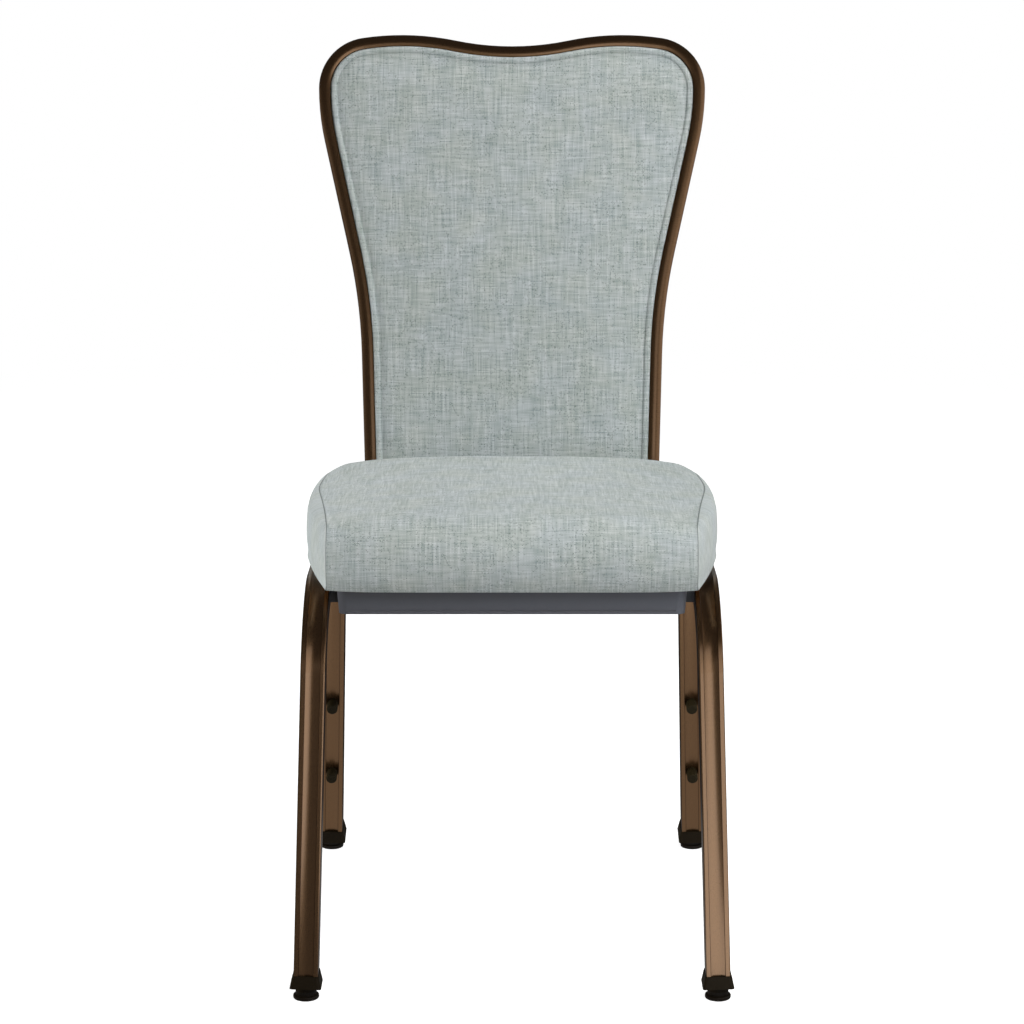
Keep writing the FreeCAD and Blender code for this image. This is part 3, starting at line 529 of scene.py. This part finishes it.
def planShare(x, sidePower):
    # reach of the front or rear outline at one place across, as a share of its reach in the middle
    c = seatCushion
    seam = c["halfWidth"] - c["sidePanel"]
    if abs(x) <= seam:
        return 1 - c["bow"] * (abs(x) / seam) ** c["bowPower"]
    return (1 - c["bow"]) * (max(c["halfWidth"] - abs(x), 0.0) / c["sidePanel"]) ** (1 / sidePower)


def cushionSection(x):
    # closed side outline at one place across the seat, from the front of the underside over the top
    c = seatCushion
    along = min(abs(x) / c["halfWidth"], 1.0)
    front = c["widest"] + (c["front"] - c["widest"]) * planShare(x, c["frontSidePower"])
    rear = c["widest"] + (c["rear"] - c["widest"]) * planShare(x, c["rearSidePower"])
    top = c["waist"] + (c["height"] - c["waist"]) * roundedShare(along, c["crownPower"])
    base = c["waist"] * (1 - roundedShare(along, c["tuckPower"]))
    share = (top - base) / c["height"]
    corners = np.array([
        (front + c["frontTuck"] * share, base), (front, base + c["noseHeight"] * share),
        (front + c["frontRound"] * share, top - c["frontDrop"] * share),
        (rear - c["rearRound"] * share, top - c["rearDrop"] * share),
        (rear, base + c["waist"] * share), (rear - c["rearTuck"] * share, base)])
    crownRise = (c["frontDrop"] + c["rearDrop"]) / 2 * share / max(corners[3][0] - corners[2][0], 1e-6)
    bulges = (c["chin"], c["nose"], crownRise, c["shoulder"], c["heel"], 0.0)
    points = []
    for k, (bulge, count) in enumerate(zip(bulges, c["steps"])):
        start, end = corners[k], corners[(k + 1) % len(corners)]
        chord = end - start
        outward = np.array([-chord[1], chord[0]])
        for t in np.arange(count) / count:
            points.append(start + chord * t + outward * (bulge * 4 * t * (1 - t)))
    return np.array(points)


def seamAcross():
    c = seatCushion
    ends = list(c["seam"]) + [c["seam"][0]]
    places = []
    for k, count in enumerate(c["steps"]):
        for t in np.arange(count) / count:
            ease = t * t * (3 - 2 * t)
            swell = c["seamSwell"] * math.sin(math.pi * t) if k == 2 else 0.0
            places.append(ends[k] + (ends[k + 1] - ends[k]) * ease + swell)
    return np.array(places)


def cushionColumns():
    # main panel from seam to seam as shares of the seam's place, side panels as shares of their reach
    c = seatCushion
    near = [1 - e / c["seam"][0] for e in c["seamEdge"]]
    inner = np.linspace(-near[1], near[1], c["mainColumns"])
    main = [-1.0, -near[0], *inner, near[0], 1.0]
    side = [0.0, *c["sideEdge"][:-1], *np.linspace(c["sideEdge"][-1], 1.0, c["sideColumns"])]
    return main, side


def boardBlock():
    # room for the board in the underside
    b = seatBoard
    outline = []
    for start, x, y in ((0, 1, 1), (90, -1, 1), (180, -1, -1), (270, 1, -1)):
        middle = (x * (b["halfWidth"] - b["corner"]),
                  (b["rear"] - b["corner"]) if y > 0 else (b["front"] + b["corner"]))
        for turn in range(0, 91, 10):
            angle = math.radians(start + turn)
            reach = b["corner"] + b["gap"]
            outline.append((middle[0] + reach * math.cos(angle), middle[1] + reach * math.sin(angle)))
    low, high = seatCushion["level"] - b["thickness"], seatCushion["level"] + b["thickness"] + b["gap"]
    return prism("board_room", np.array(outline) * mm, low * mm, high * mm)


def sewSeatCushion():
    c = seatCushion
    seamX = seamAcross()
    main, side = cushionColumns()
    around = len(seamX)
    half = c["halfWidth"]
    columns = []
    for share in reversed(side[1:]):
        columns.append((-1, share))
    columns += [(0, share) for share in main]
    columns += [(1, share) for share in side[1:]]
    centre = cushionSection(0.0)
    length = np.concatenate([[0], np.cumsum(np.linalg.norm(np.diff(centre, axis=0), axis=1))])
    points, weave, bias, seam, flat = [], [], [], [], []
    underside = around - c["steps"][-1]
    for way, share in columns:
        for i in range(around):
            if way == 0:
                x = seamX[i] * share
            else:
                x = way * (half - (half - seamX[i]) * (1 - share) ** 2)
            y, z = cushionSection(x)[i]
            points.append((x, y, z + c["level"]))
            weave.append((x, length[i], 0))
            bias.append(((y + z) * math.sqrt(0.5), (z - y) * math.sqrt(0.5), 0))
            seam.append(1.0 if way == 0 and abs(share) == 1.0 else 0.0)
            flat.append(1.0 if (i == 0 or i >= underside) and abs(x) < c["flatTo"] else 0.0)
    faces, cuts = [], []
    for k in range(len(columns) - 1):
        isSide = columns[k][0] != 0 or columns[k + 1][0] != 0
        for i in range(around):
            j = (i + 1) % around
            faces.append((k * around + i, (k + 1) * around + i, (k + 1) * around + j, k * around + j))
            cuts.append(1 if isSide else 0)
    piece = addMesh("seat_cushion_cover", np.array(points) * mm, faces)
    mesh = piece.data
    mesh.materials.append(linen)
    mesh.materials.append(biasLinenPaintedLighter)
    mesh.polygons.foreach_set("material_index", cuts)
    setVectors(mesh, "weave", np.array(weave) * mm)
    setVectors(mesh, "biasWeave", np.array(bias) * mm)
    setValues(mesh, "seam", seam)
    setValues(mesh, "flat", flat)
    # each end row lies on one point
    weld = piece.modifiers.new("weld", "WELD")
    weld.merge_threshold = c["weld"] * mm
    settle(piece)
    mesh = piece.data
    welded = readPoints(mesh)
    onSeam, under = readValues(mesh, "seam") > 0.5, readValues(mesh, "flat") > 0.5
    held = np.nonzero(onSeam | under)[0]
    normals = readNormals(mesh)
    slack = np.where(onSeam, c["seamDip"], c["slack"]) * ~under
    placePoints(mesh, welded - normals * slack[:, None] * mm)
    stuff(piece, held, seatFill)
    creaseEdges(mesh, under, c["baseCrease"])
    smoothOnce(piece)
    cutAway(piece, [boardBlock()])
    piece.data.transform(seatPlane)
    return piece


seatCover = sewSeatCushion()
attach(seatCover, "frame")
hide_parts("seat_cushion")
print("seat cushion sewn:", len(seatCover.data.polygons), "faces")


# Back pad and rear cover, in the plane of the back

backPlane = Matrix.Translation((0, 0.1607, 0.4673)) @ Matrix.Rotation(math.radians(77), 4, "X")
backLoop = {
    "dipHeight": 430.2, "dipRadius": 297.0, "dipTurn": 11.7, "lobeRadius": 284.0, "lobeFall": 8.6,
    "shoulderRadius": 54.5, "sideRadius": 260.0, "flareAngle": 12.5, "flareLength": 122.0,
    "waistRadius": 574.0, "uprightLean": 1.56, "bottom": -37.7, "edge": 12.6,
    "steps": (6, 10, 12, 6, 12, 11, 9),        # dip, lobe, shoulder, side, flare, waist, upright
}


def halfOutline(inset):
    # right half from the dip of the top rail down, set in from the loop's outer edge
    b = backLoop
    runs = ((b["dipRadius"] + inset, b["dipTurn"]), (b["lobeRadius"] - inset, -b["dipTurn"] - b["lobeFall"]),
            (b["shoulderRadius"] - inset, b["lobeFall"] - 90), (b["sideRadius"] - inset, -b["flareAngle"]),
            (b["flareLength"], 0), (b["waistRadius"] + inset, b["flareAngle"] - b["uprightLean"]))
    place, heading = np.array([0.0, b["dipHeight"] - inset]), 0.0
    points = [place]
    for (size, turn), count in zip(runs, b["steps"]):
        for _ in range(count):
            half = math.radians(turn / count / 2)
            stride = 2 * size * math.sin(abs(half)) if turn else size / count
            place = place + stride * np.array([math.cos(heading + half), math.sin(heading + half)])
            heading += 2 * half
            points.append(place)
    low = b["bottom"] + inset - b["edge"]
    count = b["steps"][-1]
    fall = (place[1] - low) / count
    sideways = fall * math.tan(math.radians(b["uprightLean"]))
    points += [place - np.array([sideways, fall]) * (k + 1) for k in range(count)]
    return np.array(points)


shoulderCorner = backLoop["steps"][0] + backLoop["steps"][1] + backLoop["steps"][2] // 2
topSpan = 2 * shoulderCorner
sideSpan = sum(backLoop["steps"]) - shoulderCorner


def backRing(inset):
    # from the lower left corner up, over the top, down and back along the bottom
    half = halfOutline(inset)
    left = half[::-1] * (-1, 1)
    share = np.arange(1, topSpan)[:, None] / topSpan
    bottom = half[-1] + (left[0] - half[-1]) * share
    return np.concatenate([left, half[1:], bottom])


def fillRing(ring):
    # grid inside a ring: its new points, and faces that join them to the ring's own
    count = len(ring)
    numbers = np.zeros((topSpan + 1, sideSpan + 1), int)
    inner = []
    for u in range(topSpan + 1):
        for v in range(sideSpan + 1):
            low, high = (count - u) % count, sideSpan + u
            left, right = v, 2 * sideSpan + topSpan - v
            if v == 0 or v == sideSpan:
                numbers[u, v] = low if v == 0 else high
            elif u == 0 or u == topSpan:
                numbers[u, v] = left if u == 0 else right
            else:
                a, b = u / topSpan, v / sideSpan
                sides = ring[left] * (1 - a) + ring[right] * a + ring[low] * (1 - b) + ring[high] * b
                ends = (ring[0] * (1 - a) + ring[2 * sideSpan + topSpan] * a) * (1 - b)
                ends = ends + (ring[sideSpan] * (1 - a) + ring[sideSpan + topSpan] * a) * b
                numbers[u, v] = -1 - len(inner)
                inner.append(sides - ends)
    return np.array(inner), numbers


def sewBackPanel(name, profile, crown, backward):
    # rings of one profile from the board's face over the edge, then a grid over the middle
    c = crown

    def height(points, drop):
        top = c["height"] - points[:, 0] ** 2 / (2 * c["radius"])
        return top - drop

    count = 2 * (topSpan + sideSpan)
    points, faces, seam, held = [], [], [], []
    for inset, drop, level, isSeam, isHeld in profile:
        ring = backRing(inset)
        z = np.full(count, level) if level is not None else height(ring, drop)
        points.append(np.column_stack([ring, z]))
        seam += [isSeam] * count
        held += [isHeld] * count
    for k in range(len(profile) - 1):
        for i in range(count):
            j = (i + 1) % count
            faces.append((k * count + i, k * count + j, (k + 1) * count + j, (k + 1) * count + i))
    for ringNumber, faceUp in ((len(profile) - 1, True), (0, False)):
        ring = backRing(profile[ringNumber][0])
        inner, numbers = fillRing(ring)
        z = height(inner, 0) if faceUp else np.full(len(inner), profile[0][2])
        first = sum(len(p) for p in points)
        points.append(np.column_stack([inner, z]))
        seam += [0.0] * len(inner)
        held += [not faceUp] * len(inner)
        lookup = np.where(numbers < 0, first - 1 - numbers, ringNumber * count + numbers)
        for u in range(topSpan):
            for v in range(sideSpan):
                quad = (lookup[u, v], lookup[u, v + 1], lookup[u + 1, v + 1], lookup[u + 1, v])
                faces.append(tuple(int(q) for q in (quad if faceUp else reversed(quad))))
    points = np.concatenate(points)
    weave = points * (1, 1, 0)
    if backward:
        points = points * (1, 1, -1)
    else:
        faces = [tuple(reversed(face)) for face in faces]
    piece = addMesh(name, points * mm, faces)
    setVectors(piece.data, "weave", weave * mm)
    setValues(piece.data, "seam", seam)
    piece.data.materials.append(linen)
    return piece, np.nonzero(held)[0]


backPad = {"rear": 4.9, "rollFoot": 8.5, "groove": 19.2, "grooveDepth": 3.6, "rollFullness": 0.85,
           "rollSteps": 8, "shoulderReach": 18.0, "shoulderSteps": 6, "shoulderCrowd": 1.6, "shoulderRise": 3,
           "grooveShade": 0.2, "crown": {"height": 17.0, "radius": 3400.0}}
padFill = {"pressure": 3.0, "frames": 18, "quality": 6, "mass": 0.35, "stretch": 30.0, "bend": 0.6,
           "reach": 1.6}


def padProfile():
    # rear edge, small roll round the border, sewn groove, shoulder of the main panel
    p = backPad
    edge = backLoop["edge"]
    middle, half = (edge + p["groove"]) / 2, (p["groove"] - edge) / 2
    profile = [(edge, 0, p["rear"], 0.0, True), (edge, 0, (p["rear"] + p["rollFoot"]) / 2, 0.0, True)]
    for k in range(p["rollSteps"] + 1):
        angle = math.pi * k / p["rollSteps"]
        drop = p["grooveDepth"] * (1 - p["rollFullness"] * math.sin(angle))
        atGroove = k == p["rollSteps"]
        # the groove's ring carries grooveShade as its seam value: painted shade along the groove
        profile.append((middle - half * math.cos(angle), drop, None, p["grooveShade"] * atGroove,
                        k == 0 or atGroove))
    for k in range(1, p["shoulderSteps"] + 1):
        share = (k / p["shoulderSteps"]) ** p["shoulderCrowd"]
        profile.append((p["groove"] + p["shoulderReach"] * share,
                        p["grooveDepth"] * (1 - share) ** p["shoulderRise"], None, 0.0, False))
    return profile


backPadCover, padHeld = sewBackPanel("back_pad_cover", padProfile(), backPad["crown"], False)
stuff(backPadCover, padHeld, padFill)
smoothOnce(backPadCover)
backPadCover.data.transform(backPlane)
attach(backPadCover, "back")
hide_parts("back_pad")
print("back pad sewn:", len(backPadCover.data.polygons), "faces")

rearCover = {"front": 4.9, "edgeRound": 5.0, "roundSteps": 5, "shoulderReach": 24.0, "shoulderSteps": 3,
             "crown": {"height": 14.5, "radius": 6000.0}}
coverFill = dict(padFill, reach=0.8)
barPocket = {"offset": 110.0, "halfWidth": 20.4, "top": 85.4, "near": 4.0, "far": 11.1, "below": -60.0}


def coverProfile():
    # front edge, rounded border, shoulder of the flat rear
    r = rearCover
    edge = backLoop["edge"]
    profile = [(edge, 0, r["front"], 0.0, True)]
    for k in range(r["roundSteps"] + 1):
        angle = math.pi / 2 * k / r["roundSteps"]
        profile.append((edge + r["edgeRound"] * (1 - math.cos(angle)), r["edgeRound"] * (1 - math.sin(angle)),
                        None, 0.0, k == 0))
    for k in range(1, r["shoulderSteps"] + 1):
        reach = r["shoulderReach"] * k / r["shoulderSteps"]
        profile.append((edge + r["edgeRound"] + reach, 0, None, 0.0, False))
    return profile


def pocketBlock(side):
    # room for a flex bar in the rear cover
    b = barPocket
    outline = [(side * b["offset"] + x, y) for x, y in (
        (-b["halfWidth"], b["below"]), (b["halfWidth"], b["below"]),
        (b["halfWidth"], b["top"]), (-b["halfWidth"], b["top"]))]
    return prism("bar_room", np.array(outline) * mm, -b["far"] * mm, -b["near"] * mm)


backRearCover, coverHeld = sewBackPanel("back_rear_cover", coverProfile(), rearCover["crown"], True)
stuff(backRearCover, coverHeld, coverFill)
smoothOnce(backRearCover)
cutAway(backRearCover, [pocketBlock(-1), pocketBlock(1)])
backRearCover.data.transform(backPlane)
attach(backRearCover, "back")
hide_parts("back_cover")
print("rear cover sewn:", len(backRearCover.data.polygons), "faces")

# fabric strip that closes the lower edge of the back, under the board
lowerStrip = {"thickness": 0.8, "rear": -6.2, "atBars": -4.3, "front": 4.9, "clearance": 0.4, "edge": 0.3}


def sewLowerStrip():
    s = lowerStrip
    half = halfOutline(backLoop["edge"])[-1][0] - s["clearance"]
    high = backLoop["bottom"] - s["clearance"] / 2
    near = barPocket["offset"] - barPocket["halfWidth"] - s["clearance"]
    far = barPocket["offset"] + barPocket["halfWidth"] + s["clearance"]
    right = [(near, s["rear"]), (near, s["atBars"]), (far, s["atBars"]), (far, s["rear"]),
             (half, s["rear"]), (half, s["front"])]
    outline = [(-x, z) for x, z in reversed(right)] + right
    piece = prism("back_lower_strip", np.array(outline) * mm, -high * mm, (s["thickness"] - high) * mm)
    piece.data.transform(Matrix.Rotation(math.radians(90), 4, "X"))
    bevel = piece.modifiers.new("edge", "BEVEL")
    bevel.width = s["edge"] * mm
    bevel.segments = 2
    settle(piece)
    points = readPoints(piece.data)
    setVectors(piece.data, "weave", points[:, (0, 2, 1)] * (1, 1, 0))
    piece.data.materials.append(linen)
    piece.data.transform(backPlane)
    return piece


backLowerStrip = sewLowerStrip()
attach(backLowerStrip, "back")
print("lower strip sewn")


# Flex bars: the spring steel between the seat frame and the back, copied from the model's bars in a new
# finish


def springBar(nodeName):
    bar = bpy.data.objects.new(nodeName.replace("flex_bar", "spring_bar"), nodes[nodeName].data.copy())
    scene.collection.objects.link(bar)
    bar.data.materials.clear()
    bar.data.materials.append(finishes["spring_steel"])
    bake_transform(bar)
    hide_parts(nodeName)
    return bar


for barName in ("left_flex_bar", "right_flex_bar"):
    springBar(barName)
print("spring bars ready")


# Finish of the carried-over nodes

finishes["seat_fabric"] = finishes["back_fabric"] = linen
for node in nodes.values():
    slotName = node.data.materials[0].name
    node.data.materials.clear()
    node.data.materials.append(finishes[slotName])
print("nodes finished")
